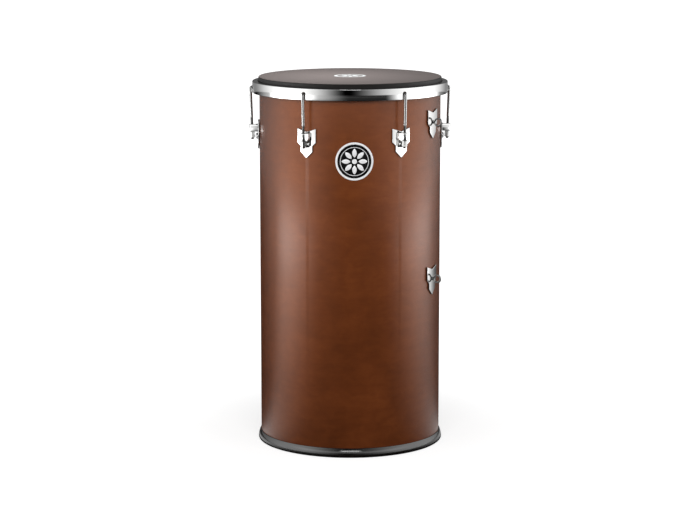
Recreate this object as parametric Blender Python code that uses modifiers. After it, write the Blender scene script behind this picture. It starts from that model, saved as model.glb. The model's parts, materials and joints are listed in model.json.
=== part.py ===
"""A tantan: a tall one-headed hand drum, with its shell, head, tuning hoop, hooked rods, lugs and strap eyes.

Metres, +Z up. The drum stands on z = 0 with its axis on the Z axis and its front towards -Y.
"""

from math import acos, atan2, cos, hypot, pi, radians, sin, sqrt, tan

import bmesh
import bpy
from mathutils import Matrix

# Gap between pieces that touch
CLEARANCE = 0.0003

# Shell: a bent-ply tube, open at the bottom
SHELL_RADIUS = 0.176
SHELL_WALL = 0.0075
SHELL_LENGTH = 0.7112
EDGE_ROUND = 0.0015
EDGE_CHAMFER = 0.004

# Edge ring: a rubber channel around the shell's lower edge
RING_SOLE = 0.0044
RING_LIP_HEIGHT = 0.0185
RING_LIP_THICKNESS = 0.0007
RING_BULGE = 0.0052
RING_BULGE_HEIGHT = 0.0035
RING_FOOT_INSET = 0.0050
RING_INNER_THICKNESS = 0.0024
RING_INNER_HEIGHT = 0.012

# Head: a membrane whose collar turns down over the shell's top edge
SKIN_THICKNESS = 0.0015
SKIN_ROUND = 0.0024
COLLAR_DEPTH = 0.0172

# Counter hoop: a band with a flange turned inwards
RIM_DROP = 0.0088
RIM_HEIGHT = 0.0222
RIM_SHEET = 0.002
RIM_SPACE = 0.010
RIM_CORNER = 0.0015
FLANGE_GAP = 0.0022
HOOK_HOLE_HEIGHT = 0.0113
HOOK_HOLE_PLAY = 0.0015

# Flesh hoop: the ring that grips the collar under the flange
FLESH_HOOP_WIDTH = 0.006
FLESH_HOOP_HEIGHT = 0.006

# Tuning rods and their nuts, with the 12-24 thread of drum rods
LUG_ANGLES = (-30, 30, 90, 150, 210, 270)
ROD_RADIUS = 0.00275
ROD_BEND_INNER_RADIUS = 0.0006
ROD_NOSE_REACH = 0.003
ROD_TIP_BELOW_NUT = 0.003
NUT_ACROSS_FLATS = 0.010
NUT_HEIGHT = 0.012
NUT_TURNS = (40, 0, 0, 12, 25, 0)

# Arrow plate of the lugs and strap eyes, measured down from its two upper tips
PLATE_SHEET = 0.0018
PLATE_HALF_WIDTH = 0.0195
PLATE_NOTCH = 0.006
PLATE_SHOULDER = 0.0262
PLATE_WAIST = 0.0326
PLATE_WAIST_HALF_WIDTH = 0.0125
PLATE_WAIST_END = 0.0437
PLATE_LENGTH = 0.0556
GASKET_THICKNESS = 0.0009
PLATE_STRIP = 0.0075

# Lug: its drop below the shell's top edge, its strap loop and its screw
LUG_DROP = 0.0839
LOOP_DROP = 0.01465
LOOP_HEIGHT = 0.0135
LOOP_SHEET = 0.002
LOOP_PLAY = 0.0012
LOOP_REACH = 0.0112
LOOP_FOOT_HALF_WIDTH = 0.011
SCREW_DROP = 0.0303
SCREW_RADIUS = 0.0027
SCREW_HEAD_RADIUS = 0.006
SCREW_HEAD_HEIGHT = 0.004
SCREW_HEAD_EDGE = 0.0008
SCREW_RECESS_WIDTH = 0.0013
SCREW_RECESS_LENGTH = 0.006
SCREW_RECESS_DEPTH = 0.0016
SCREW_HOLE_PLAY = 0.0005
SCREW_PAST_NUT = 0.002
FLANGE_NUT_RADIUS = 0.007
FLANGE_NUT_FLANGE = 0.0014
FLANGE_NUT_ACROSS_FLATS = 0.0095
FLANGE_NUT_HEIGHT = 0.0062

# Strap eyes, one above the other at the right
STRAP_ANGLE = 60
STRAP_DROPS = {"high": 0.0553, "low": 0.3589}
EYE_DROP = 0.0242
EYE_RING_RADIUS = 0.0070
EYE_WIRE_RADIUS = 0.0018
EYE_NECK = 0.0010
EYE_NECK_RADIUS = 0.0036
EYE_SHANK_RADIUS = 0.0029

# Badge
BADGE_DROP = 0.1437
BADGE_RADIUS = 0.036
BADGE_SHEET = 0.0012
BADGE_BORDER = 0.0038
BADGE_RECESS = 0.0004
BADGE_STRIP = 0.008

# Facets
TURN_STEPS = 60
SMALL_TURN_STEPS = 14
NUT_TURN_STEPS = 18
ARC_STEPS = 4
CORNER_STEPS = 2
LOOP_STEPS = 10
EYE_RING_STEPS = 24
EYE_WIRE_STEPS = 8
BADGE_STEPS = 40
SHARP_ANGLE = radians(32)
MERGE = 0.00001

# Heights and radii that follow from the sizes above
SHELL_BOTTOM = RING_SOLE + CLEARANCE
SHELL_TOP = SHELL_BOTTOM + SHELL_LENGTH
SHELL_INNER = SHELL_RADIUS - SHELL_WALL
HEAD_TOP = SHELL_TOP + CLEARANCE + SKIN_THICKNESS
COLLAR_INNER = SHELL_RADIUS + CLEARANCE
COLLAR_OUTER = COLLAR_INNER + SKIN_THICKNESS
RIM_TOP = HEAD_TOP - RIM_DROP
RIM_BOTTOM = RIM_TOP - RIM_HEIGHT
RIM_INNER = COLLAR_OUTER + RIM_SPACE
RIM_OUTER = RIM_INNER + RIM_SHEET
HOOK_HOLE_RADIUS = ROD_RADIUS + HOOK_HOLE_PLAY
HOOK_HOLE_Z = RIM_BOTTOM + HOOK_HOLE_HEIGHT
NOSE_Z = HOOK_HOLE_Z - HOOK_HOLE_RADIUS + CLEARANCE + ROD_RADIUS
GASKET_INNER = SHELL_RADIUS + CLEARANCE
PLATE_INNER = GASKET_INNER + GASKET_THICKNESS + CLEARANCE
PLATE_OUTER = PLATE_INNER + PLATE_SHEET
LUG_TIPS_Z = SHELL_TOP - LUG_DROP
LOOP_Z = LUG_TIPS_Z - LOOP_DROP
SCREW_Z = LUG_TIPS_Z - SCREW_DROP
HEAD_SEAT = PLATE_OUTER + CLEARANCE
INNER_NUT_SEAT = sqrt(SHELL_INNER**2 - FLANGE_NUT_RADIUS**2) - CLEARANCE
SHANK_END = INNER_NUT_SEAT - FLANGE_NUT_HEIGHT - SCREW_PAST_NUT
EYE_CENTRE = HEAD_SEAT + EYE_NECK + EYE_RING_RADIUS + EYE_WIRE_RADIUS

# A rod runs from its hook hole past the hoop's lower edge to its loop, so it leans in towards the shell
LOOP_AXIS = PLATE_OUTER + LOOP_REACH
ROD_PASS = RIM_OUTER + CLEARANCE + ROD_RADIUS
ROD_LEAN = atan2(ROD_PASS - LOOP_AXIS, RIM_BOTTOM - LOOP_Z)
ROD_AXIS = LOOP_AXIS + (NOSE_Z - LOOP_Z) * tan(ROD_LEAN)
NUT_TILT = NUT_ACROSS_FLATS / sqrt(3) * sin(ROD_LEAN)
NUT_TOP = LOOP_Z - LOOP_HEIGHT / 2 - CLEARANCE - NUT_TILT
NUT_Z = NUT_TOP - NUT_HEIGHT / 2
NUT_AXIS = LOOP_AXIS + (NUT_Z - LOOP_Z) * tan(ROD_LEAN)
ROD_TIP_Z = NUT_TOP - NUT_HEIGHT - ROD_TIP_BELOW_NUT

# Turns a piece that was made along +Z so that it points outwards, towards -Y
OUTWARDS = (pi / 2, 0, 0)


def clear_scene():
    for old in list(bpy.data.objects):
        bpy.data.objects.remove(old, do_unlink=True)


def new_collection(name):
    collection = bpy.data.collections.new(name)
    bpy.context.scene.collection.children.link(collection)
    return collection


def finish(name, colour, roughness, metallic=0.0):
    """A plain Principled material."""
    material = bpy.data.materials.new(name)
    material.use_nodes = True
    shader = material.node_tree.nodes["Principled BSDF"]
    shader.inputs["Base Color"].default_value = (*colour, 1)
    shader.inputs["Roughness"].default_value = roughness
    shader.inputs["Metallic"].default_value = metallic
    material.diffuse_color = (*colour, 1)
    return material


clear_scene()
DRUM = new_collection("tantan")
CUTTERS = new_collection("cutters")
STAINED_WOOD = finish("stained wood", (0.16, 0.05, 0.018), 0.38)
DARK_SKIN = finish("dark skin", (0.12, 0.10, 0.095), 0.55)
BLACK_RUBBER = finish("black rubber", (0.02, 0.018, 0.016), 0.35)
CHROME = finish("chrome", (0.85, 0.85, 0.84), 0.08, 1.0)
ZINC = finish("zinc plate", (0.62, 0.62, 0.60), 0.35, 1.0)
BADGE_METAL = finish("badge metal", (0.72, 0.72, 0.74), 0.25, 1.0)


def add(mesh, name, material, parent=None, location=(0, 0, 0), rotation=(0, 0, 0)):
    """An object in the drum's collection that shows the mesh."""
    if not mesh.materials:
        mesh.materials.append(material)
    piece = bpy.data.objects.new(name, mesh)
    piece.parent = parent
    piece.location = location
    piece.rotation_euler = rotation
    DRUM.objects.link(piece)
    return piece


def baked(source):
    """The mesh of source with its modifiers applied. Source is removed."""
    bpy.context.view_layer.update()
    depsgraph = bpy.context.evaluated_depsgraph_get()
    mesh = bpy.data.meshes.new_from_object(source.evaluated_get(depsgraph))
    mesh.name = source.name
    bpy.data.objects.remove(source, do_unlink=True)
    mesh.shade_smooth()
    mesh.set_sharp_from_angle(angle=SHARP_ANGLE)
    return mesh


def draft(name, data):
    """An object that is baked or used as a cutter, and isn't a piece of the drum."""
    blank = bpy.data.objects.new(name, data)
    blank.hide_render = True
    blank.display_type = "WIRE"
    CUTTERS.objects.link(blank)
    return blank


def turned(name, profile, steps=TURN_STEPS, closed=True):
    """A mesh turned about Z from (radius, height) points, which run down its outer side."""
    mesh = bpy.data.meshes.new(name)
    bm = bmesh.new()
    corners = [bm.verts.new((radius, 0, height)) for radius, height in profile]
    followers = corners[1:] + corners[:1] if closed else corners[1:]
    for corner, follower in zip(corners, followers):
        bm.edges.new((corner, follower))
    bm.to_mesh(mesh)
    bm.free()
    blank = draft(name, mesh)
    screw = blank.modifiers.new("turn", "SCREW")
    screw.angle = 2 * pi
    screw.steps = steps
    screw.render_steps = steps
    screw.use_merge_vertices = True
    screw.merge_threshold = MERGE
    return baked(blank)


def arc(centre, radii, start, end, steps=ARC_STEPS):
    """Points of an elliptic arc between two angles in degrees, both ends included."""
    points = []
    for step in range(steps + 1):
        angle = radians(start + (end - start) * step / steps)
        points.append((centre[0] + radii[0] * cos(angle), centre[1] + radii[1] * sin(angle)))
    return points


def cylinders(name, places, segments=SMALL_TURN_STEPS):
    """A mesh of separate cylinders, one for each (radius, length, matrix)."""
    mesh = bpy.data.meshes.new(name)
    bm = bmesh.new()
    for radius, length, matrix in places:
        bmesh.ops.create_cone(
            bm, cap_ends=True, segments=segments, radius1=radius, radius2=radius, depth=length, matrix=matrix
        )
    bm.to_mesh(mesh)
    bm.free()
    return mesh


def boxes(name, sizes):
    """A mesh of separate boxes about the origin's height, one for each (x, y, z, centre height)."""
    mesh = bpy.data.meshes.new(name)
    bm = bmesh.new()
    for x, y, z, height in sizes:
        place = Matrix.Translation((0, 0, height)) @ Matrix.Diagonal((x, y, z, 1))
        bmesh.ops.create_cube(bm, size=1, matrix=place)
    bm.to_mesh(mesh)
    bm.free()
    return mesh


def boolean(target, operation, other):
    """Adds a live Boolean to the target."""
    modifier = target.modifiers.new(operation.lower(), "BOOLEAN")
    modifier.operation = operation
    modifier.object = other
    return modifier


def combined(name, first, *steps):
    """One mesh from a first mesh and steps of (operation, mesh)."""
    blank = draft(name, first)
    others = []
    for operation, mesh in steps:
        others.append(draft(name + " tool", mesh))
        boolean(blank, operation, others[-1])
    mesh = baked(blank)
    for other in others:
        bpy.data.objects.remove(other, do_unlink=True)
    return mesh


def radial(angle, height, depth):
    """The matrix of a cylinder that lies along a radius of the drum, at an angle, height and depth."""
    return (
        Matrix.Rotation(radians(angle), 4, "Z")
        @ Matrix.Translation((0, -depth, height))
        @ Matrix.Rotation(pi / 2, 4, "X")
    )


def flat_curve(name, outlines, half_thickness):
    """A filled 2D curve of closed outlines, where an outline inside another is a hole."""
    curve = bpy.data.curves.new(name, "CURVE")
    curve.dimensions = "2D"
    curve.fill_mode = "BOTH"
    curve.extrude = half_thickness
    for outline in outlines:
        spline = curve.splines.new("POLY")
        spline.points.add(len(outline) - 1)
        for point, (x, y) in zip(spline.points, outline):
            point.co = (x, y, 0, 1)
        spline.use_cyclic_u = True
    return curve


def flat_plate(name, outlines, thickness):
    """A plate from closed outlines, in the XY plane and centred on it."""
    mesh = baked(draft(name, flat_curve(name, outlines, thickness / 2)))
    bm = bmesh.new()
    bm.from_mesh(mesh)
    bmesh.ops.remove_doubles(bm, verts=bm.verts, dist=MERGE)
    bmesh.ops.dissolve_limit(bm, angle_limit=radians(1), verts=bm.verts, edges=bm.edges)
    bm.to_mesh(mesh)
    bm.free()
    return mesh


def bent_plate(name, outlines, inner_radius, thickness, strip=PLATE_STRIP):
    """A flat plate bent around the drum: x runs along the girth from the front, and y up."""
    mesh = flat_plate(name, outlines, thickness)
    bm = bmesh.new()
    bm.from_mesh(mesh)
    reach = max(abs(x) for outline in outlines for x, y in outline)
    bends = int(reach / strip)
    for bend in range(-bends, bends + 1):
        everything = bm.verts[:] + bm.edges[:] + bm.faces[:]
        bmesh.ops.bisect_plane(bm, geom=everything, plane_co=(bend * strip, 0, 0), plane_no=(1, 0, 0))
    outer_radius = inner_radius + thickness
    for vert in bm.verts:
        angle = vert.co.x / outer_radius
        radius = inner_radius + thickness / 2 + vert.co.z
        vert.co = (radius * sin(angle), -radius * cos(angle), vert.co.y)
    bm.to_mesh(mesh)
    bm.free()
    mesh.shade_smooth()
    mesh.set_sharp_from_angle(angle=SHARP_ANGLE)
    return mesh


def circle(centre, radius, steps=SMALL_TURN_STEPS):
    return arc(centre, (radius, radius), 0, 360, steps)[:-1]


def make_shell():
    profile = [
        (SHELL_RADIUS - EDGE_ROUND, SHELL_TOP),
        (SHELL_RADIUS, SHELL_TOP - EDGE_ROUND),
        (SHELL_RADIUS, SHELL_BOTTOM),
        (SHELL_INNER, SHELL_BOTTOM),
        (SHELL_INNER, SHELL_TOP - EDGE_CHAMFER),
        (SHELL_INNER + EDGE_CHAMFER, SHELL_TOP),
    ]
    shell = add(turned("shell", profile), "shell", STAINED_WOOD)
    depth = SHELL_RADIUS - SHELL_WALL / 2
    screw_hole = SCREW_RADIUS + SCREW_HOLE_PLAY
    eye_hole = EYE_SHANK_RADIUS + SCREW_HOLE_PLAY
    holes = [(screw_hole, 4 * SHELL_WALL, radial(angle, SCREW_Z, depth)) for angle in LUG_ANGLES]
    for drop in STRAP_DROPS.values():
        holes.append((eye_hole, 4 * SHELL_WALL, radial(STRAP_ANGLE, SHELL_TOP - drop - EYE_DROP, depth)))
    boolean(shell, "DIFFERENCE", draft("shell holes", cylinders("shell holes", holes)))


def make_bottom_ring():
    lip_inner = SHELL_RADIUS + CLEARANCE
    lip_outer = lip_inner + RING_LIP_THICKNESS
    widest = SHELL_RADIUS + RING_BULGE
    foot = widest - RING_FOOT_INSET
    inner_face = SHELL_INNER - CLEARANCE
    inner_back = inner_face - RING_INNER_THICKNESS
    rise = RING_LIP_HEIGHT - RING_BULGE_HEIGHT
    # The flank swells from the lip to the widest line as a parabola
    flank = []
    for step in range(ARC_STEPS):
        fall = step / ARC_STEPS
        swell = (widest - lip_outer) * (1 - (1 - fall) ** 2)
        flank.append((lip_outer + swell, RING_LIP_HEIGHT - rise * fall))
    underside = arc((foot, RING_BULGE_HEIGHT), (widest - foot, RING_BULGE_HEIGHT), 0, -90, CORNER_STEPS)
    profile = [(lip_inner, RING_LIP_HEIGHT), *flank, *underside]
    profile += [
        (inner_back, 0),
        (inner_back, RING_INNER_HEIGHT),
        (inner_face, RING_INNER_HEIGHT),
        (inner_face, RING_SOLE),
        (lip_inner, RING_SOLE),
    ]
    add(turned("bottom_ring", profile), "bottom_ring", BLACK_RUBBER)


def make_head():
    centre = (COLLAR_OUTER - SKIN_ROUND, HEAD_TOP - SKIN_ROUND)
    corner = arc(centre, (SKIN_ROUND, SKIN_ROUND), 90, 0, CORNER_STEPS)
    collar_end = HEAD_TOP - COLLAR_DEPTH
    under = SHELL_TOP + CLEARANCE
    profile = [(0, HEAD_TOP), *corner, (COLLAR_OUTER, collar_end), (COLLAR_INNER, collar_end)]
    profile += [(COLLAR_INNER, under), (0, under)]
    add(turned("head_skin", profile, closed=False), "head_skin", DARK_SKIN)


def make_flesh_hoop():
    inner = COLLAR_OUTER + CLEARANCE
    outer = inner + FLESH_HOOP_WIDTH
    top = RIM_TOP - RIM_SHEET - CLEARANCE
    bottom = top - FLESH_HOOP_HEIGHT
    profile = [(inner, top), (outer, top), (outer, bottom), (inner, bottom)]
    add(turned("flesh_hoop", profile), "flesh_hoop", ZINC)


def make_rim():
    centre = (RIM_OUTER - RIM_CORNER, RIM_TOP - RIM_CORNER)
    corner = arc(centre, (RIM_CORNER, RIM_CORNER), 90, 0, CORNER_STEPS)
    flange_inner = COLLAR_OUTER + FLANGE_GAP
    profile = [
        (flange_inner, RIM_TOP),
        *corner,
        (RIM_OUTER, RIM_BOTTOM),
        (RIM_INNER, RIM_BOTTOM),
        (RIM_INNER, RIM_TOP - RIM_SHEET),
        (flange_inner, RIM_TOP - RIM_SHEET),
    ]
    rim = add(turned("rim", profile), "rim", CHROME)
    depth = (RIM_INNER + RIM_OUTER) / 2
    holes = [(HOOK_HOLE_RADIUS, 4 * RIM_SHEET, radial(angle, HOOK_HOLE_Z, depth)) for angle in LUG_ANGLES]
    boolean(rim, "DIFFERENCE", draft("hook holes", cylinders("hook holes", holes)))


def rod_curve():
    """A hooked rod in its own frame: Z up its axis, the nose at the origin's height, pointing along +Y."""
    bend = ROD_RADIUS + ROD_BEND_INNER_RADIUS
    nose = ROD_AXIS - RIM_INNER + ROD_NOSE_REACH
    tip = ROD_TIP_Z - NOSE_Z
    taper = ROD_RADIUS / 3
    route = [(0, tip, 0.7), (0, tip + taper, 1)]
    route += [(inwards, height, 1) for inwards, height in arc((bend, -bend), (bend, bend), 180, 90)]
    route += [(nose - taper, 0, 1), (nose, 0, 0.7)]
    curve = bpy.data.curves.new("hook rod", "CURVE")
    curve.dimensions = "3D"
    curve.bevel_depth = ROD_RADIUS
    curve.bevel_resolution = 3
    curve.use_fill_caps = True
    spline = curve.splines.new("POLY")
    spline.points.add(len(route) - 1)
    for point, (inwards, height, swell) in zip(spline.points, route):
        point.co = (0, inwards, height, 1)
        point.radius = swell
    return curve


def tension_nut_mesh():
    """A tall hex nut, chamfered at both ends, centred on its own origin."""
    corner = NUT_ACROSS_FLATS / sqrt(3)
    face = 0.47 * NUT_ACROSS_FLATS
    chamfer = (corner - face) / 2
    bore = ROD_RADIUS + CLEARANCE
    half = NUT_HEIGHT / 2
    profile = [
        (bore, half),
        (face, half),
        (corner, half - chamfer),
        (corner, chamfer - half),
        (face, -half),
        (bore, -half),
    ]
    blank = turned("tension nut", profile, NUT_TURN_STEPS)
    prism = cylinders("hexagon", [(corner - MERGE, 2 * NUT_HEIGHT, Matrix.Rotation(radians(30), 4, "Z"))], 6)
    return combined("tension nut", blank, ("INTERSECT", prism))


def plate_outline():
    """The arrow plate, with y = 0 at its upper tips."""
    right = [
        (PLATE_HALF_WIDTH, 0),
        (0, -PLATE_NOTCH),
        (-PLATE_HALF_WIDTH, 0),
        (-PLATE_HALF_WIDTH, -PLATE_SHOULDER),
        (-PLATE_WAIST_HALF_WIDTH, -PLATE_WAIST),
        (-PLATE_WAIST_HALF_WIDTH, -PLATE_WAIST_END),
        (0, -PLATE_LENGTH),
    ]
    left = [(-x, y) for x, y in reversed(right[3:6])]
    return right + left


def plate_meshes(name, hole_drop, hole_radius):
    """The bent plate and its gasket, both with the hole for the fastener."""
    outlines = [plate_outline(), circle((0, -hole_drop), hole_radius)]
    plate = bent_plate(name + " plate", outlines, PLATE_INNER, PLATE_SHEET)
    gasket = bent_plate(name + " gasket", outlines, GASKET_INNER, GASKET_THICKNESS)
    return plate, gasket


def tangent_angle(foot, centre, radius):
    """Where a line from a foot at the right meets a circle, as an angle about the circle's centre."""
    away = (foot[0] - centre[0], foot[1] - centre[1])
    return atan2(away[1], away[0]) - acos(radius / hypot(*away))


def loop_mesh():
    """The lug's strap, seen from above: two feet on the plate and a round loop about the rod."""
    centre = (0, -LOOP_AXIS)
    inner_radius = ROD_RADIUS + LOOP_PLAY
    inner_foot = LOOP_FOOT_HALF_WIDTH - LOOP_SHEET
    foot_y = -sqrt(HEAD_SEAT**2 - inner_foot**2)
    sides = []
    for radius, half_width in ((inner_radius + LOOP_SHEET, LOOP_FOOT_HALF_WIDTH), (inner_radius, inner_foot)):
        foot = (half_width, foot_y)
        start = tangent_angle(foot, centre, radius) * 180 / pi
        bow = arc(centre, (radius, radius), start, -180 - start, LOOP_STEPS)
        sides.append([foot, *bow, (-half_width, foot_y)])
    outer, inner = sides
    return flat_plate("lug loop", [outer + inner[::-1]], LOOP_HEIGHT)


def screw_mesh():
    """A dome-head screw along Z, its head resting on z = 0 and its shank below."""
    length = HEAD_SEAT - SHANK_END
    chamfer = SCREW_RADIUS / 4
    dome_height = SCREW_HEAD_HEIGHT - SCREW_HEAD_EDGE
    dome = arc((0, SCREW_HEAD_EDGE), (SCREW_HEAD_RADIUS, dome_height), 90, 0, ARC_STEPS - 1)
    profile = [
        *dome,
        (SCREW_HEAD_RADIUS, 0),
        (SCREW_RADIUS, 0),
        (SCREW_RADIUS, chamfer - length),
        (SCREW_RADIUS - chamfer, -length),
        (0, -length),
    ]
    blank = turned("lug screw", profile, SMALL_TURN_STEPS, closed=False)
    sizes = (SCREW_RECESS_LENGTH, SCREW_RECESS_WIDTH, 2 * SCREW_RECESS_DEPTH, SCREW_HEAD_HEIGHT)
    across = boxes("recess across", [sizes])
    along = boxes("recess along", [(sizes[1], sizes[0], *sizes[2:])])
    return combined("lug screw", blank, ("DIFFERENCE", across), ("DIFFERENCE", along))


def flange_nut_mesh(name, shank_radius):
    """A flanged nut along Z, its flange's face on z = 0 and its hexagon below."""
    face = Matrix.Translation((0, 0, -FLANGE_NUT_FLANGE / 2))
    flange = cylinders("flange", [(FLANGE_NUT_RADIUS, FLANGE_NUT_FLANGE, face)])
    corner = FLANGE_NUT_ACROSS_FLATS / sqrt(3)
    body_height = FLANGE_NUT_HEIGHT - FLANGE_NUT_FLANGE / 2
    middle = Matrix.Translation((0, 0, body_height / 2 - FLANGE_NUT_HEIGHT))
    body = cylinders("hexagon", [(corner, body_height, middle)], 6)
    bore = cylinders("bore", [(shank_radius + CLEARANCE, 4 * FLANGE_NUT_HEIGHT, Matrix())])
    return combined(name, flange, ("UNION", body), ("DIFFERENCE", bore))


def eye_mesh():
    """An eye bolt along Z with its ring's centre at the origin, the ring in the YZ plane."""
    bpy.ops.mesh.primitive_torus_add(
        major_radius=EYE_RING_RADIUS,
        minor_radius=EYE_WIRE_RADIUS,
        major_segments=EYE_RING_STEPS,
        minor_segments=EYE_WIRE_STEPS,
    )
    torus = bpy.context.object
    ring = torus.data
    ring.transform(Matrix.Rotation(pi / 2, 4, "Y"))
    bpy.data.objects.remove(torus, do_unlink=True)
    seat = HEAD_SEAT - EYE_CENTRE
    end = SHANK_END - EYE_CENTRE
    neck_top = -EYE_RING_RADIUS
    neck_place = Matrix.Translation((0, 0, (neck_top + seat) / 2))
    neck = cylinders("neck", [(EYE_NECK_RADIUS, neck_top - seat, neck_place)])
    shank_top = seat + EYE_NECK / 2
    shank_place = Matrix.Translation((0, 0, (shank_top + end) / 2))
    shank = cylinders("shank", [(EYE_SHANK_RADIUS, shank_top - end, shank_place)])
    return combined("strap eye", ring, ("UNION", neck), ("UNION", shank))


def station(name, angle):
    """An empty on the drum's axis, turned so that its -Y points outwards at the angle."""
    empty = bpy.data.objects.new(name, None)
    empty.rotation_euler = (0, 0, radians(angle))
    DRUM.objects.link(empty)
    return empty


def make_lugs():
    plate, gasket = plate_meshes("lug", SCREW_DROP, SCREW_RADIUS + SCREW_HOLE_PLAY)
    loop = loop_mesh()
    screw = screw_mesh()
    flange_nut = flange_nut_mesh("lug screw nut", SCREW_RADIUS)
    nut = tension_nut_mesh()
    rod = rod_curve()
    rod.materials.append(CHROME)
    for number, (angle, turn) in enumerate(zip(LUG_ANGLES, NUT_TURNS), 1):
        place = station(f"lug_station_{number}", angle)
        tips = (0, 0, LUG_TIPS_Z)
        add(gasket, f"lug_gasket_{number}", BLACK_RUBBER, place, tips)
        add(plate, f"lug_plate_{number}", CHROME, place, tips)
        add(loop, f"lug_bracket_{number}", CHROME, place, (0, 0, LOOP_Z))
        add(screw, f"lug_screw_{number}", CHROME, place, (0, -HEAD_SEAT, SCREW_Z), OUTWARDS)
        add(flange_nut, f"lug_screw_nut_{number}", ZINC, place, (0, -INNER_NUT_SEAT, SCREW_Z), OUTWARDS)
        screwed = add(nut, f"tension_nut_{number}", CHROME, place, (0, -NUT_AXIS, NUT_Z))
        screwed.rotation_mode = "ZYX"
        screwed.rotation_euler = (ROD_LEAN, 0, radians(turn))
        hook = bpy.data.objects.new(f"hook_rod_{number}", rod)
        hook.parent = place
        hook.location = (0, -ROD_AXIS, NOSE_Z)
        hook.rotation_euler = (ROD_LEAN, 0, 0)
        DRUM.objects.link(hook)


def make_strap_eyes():
    plate, gasket = plate_meshes("strap", EYE_DROP, EYE_SHANK_RADIUS + SCREW_HOLE_PLAY)
    eye = eye_mesh()
    flange_nut = flange_nut_mesh("strap eye nut", EYE_SHANK_RADIUS)
    place = station("strap_station", STRAP_ANGLE)
    for where, drop in STRAP_DROPS.items():
        tips = (0, 0, SHELL_TOP - drop)
        eye_z = SHELL_TOP - drop - EYE_DROP
        add(gasket, f"strap_gasket_{where}", BLACK_RUBBER, place, tips)
        add(plate, f"strap_plate_{where}", CHROME, place, tips)
        add(eye, f"strap_eye_{where}", CHROME, place, (0, -EYE_CENTRE, eye_z), OUTWARDS)
        add(flange_nut, f"strap_eye_nut_{where}", ZINC, place, (0, -INNER_NUT_SEAT, eye_z), OUTWARDS)


def make_badge():
    """A round plate bent to the shell, with a raised border around a sunk field."""
    inner = SHELL_RADIUS + CLEARANCE
    centre = (0, 0)
    plate = bent_plate("badge", [circle(centre, BADGE_RADIUS, BADGE_STEPS)], inner, BADGE_SHEET, BADGE_STRIP)
    badge = add(plate, "badge", BADGE_METAL, location=(0, 0, SHELL_TOP - BADGE_DROP))
    field = circle(centre, BADGE_RADIUS - BADGE_BORDER, BADGE_STEPS)
    floor = inner + BADGE_SHEET - BADGE_RECESS
    sunk = draft("badge field", bent_plate("badge field", [field], floor, 3 * BADGE_RECESS, BADGE_STRIP))
    sunk.location = badge.location
    boolean(badge, "DIFFERENCE", sunk)


make_shell()
make_bottom_ring()
make_head()
make_flesh_hoop()
make_rim()
make_lugs()
make_strap_eyes()
make_badge()
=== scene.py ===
import json
from math import acos, atan2, cos, degrees, hypot, pi, radians, sin, sqrt, tan

import bmesh
import bpy
from mathutils import Matrix, Vector


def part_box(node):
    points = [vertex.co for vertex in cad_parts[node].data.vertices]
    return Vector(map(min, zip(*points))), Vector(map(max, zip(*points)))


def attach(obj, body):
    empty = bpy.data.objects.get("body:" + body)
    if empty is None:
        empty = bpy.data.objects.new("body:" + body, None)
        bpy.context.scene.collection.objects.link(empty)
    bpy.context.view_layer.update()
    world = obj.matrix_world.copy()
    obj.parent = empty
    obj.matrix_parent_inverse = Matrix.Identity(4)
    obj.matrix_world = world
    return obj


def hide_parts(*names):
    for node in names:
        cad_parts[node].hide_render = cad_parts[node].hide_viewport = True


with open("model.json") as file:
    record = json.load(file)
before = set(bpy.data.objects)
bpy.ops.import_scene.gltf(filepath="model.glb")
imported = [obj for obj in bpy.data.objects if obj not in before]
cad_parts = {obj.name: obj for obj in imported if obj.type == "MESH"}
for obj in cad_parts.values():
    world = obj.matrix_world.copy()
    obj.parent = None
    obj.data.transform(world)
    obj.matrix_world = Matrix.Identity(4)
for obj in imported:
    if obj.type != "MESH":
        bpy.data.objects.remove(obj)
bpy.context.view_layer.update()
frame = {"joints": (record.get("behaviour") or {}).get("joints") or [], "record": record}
weld = 0.000004  # vertices closer than this become one
clearance = 0.0003  # between pieces that sit on each other, as in the CAD
smoothAngle = radians(32)
print("frame loaded")


# Selecting and drawing

def deselectAll():
    if bpy.context.object and bpy.context.object.mode == "EDIT":
        bpy.ops.object.mode_set(mode="OBJECT")
    bpy.ops.object.select_all(action="DESELECT")


def activate(piece):
    deselectAll()
    piece.select_set(True)
    bpy.context.view_layer.objects.active = piece


def editMode(piece):
    activate(piece)
    bpy.ops.object.mode_set(mode="EDIT")


def drawLine(name, points):
    # one vertex, extruded from point to point, left in edit mode
    deselectAll()
    bpy.ops.mesh.primitive_plane_add(size=0.001)
    piece = bpy.context.object
    piece.name = name
    bpy.ops.object.mode_set(mode="EDIT")
    bpy.ops.mesh.select_mode(type="VERT")
    bpy.ops.mesh.select_all(action="SELECT")
    bpy.ops.mesh.merge(type="CENTER")
    bpy.ops.transform.translate(value=points[0])
    for before, after in zip(points, points[1:]):
        step = Vector(after) - Vector(before)
        bpy.ops.mesh.extrude_region_move(TRANSFORM_OT_translate={"value": step})
    return piece


def mergeAll():
    bpy.ops.mesh.select_mode(type="VERT")
    bpy.ops.mesh.select_all(action="SELECT")
    bpy.ops.mesh.remove_doubles(threshold=weld)
    bpy.ops.mesh.normals_make_consistent(inside=False)


def spinLine(name, points, sides, centre=(0, 0, 0), axis=(0, 0, 1)):
    # a profile turned all the way round, left in edit mode
    piece = drawLine(name, points)
    bpy.ops.mesh.select_all(action="SELECT")
    bpy.ops.mesh.spin(steps=sides, angle=2 * pi, center=centre, axis=axis)
    mergeAll()
    return piece


def extrudeOutline(name, points, reach):
    # a closed outline, filled and extruded by a vector, left in edit mode
    piece = drawLine(name, points)
    bpy.ops.mesh.select_all(action="SELECT")
    bpy.ops.mesh.edge_face_add()
    bpy.ops.mesh.extrude_region_move(TRANSFORM_OT_translate={"value": reach})
    mergeAll()
    return piece


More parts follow.
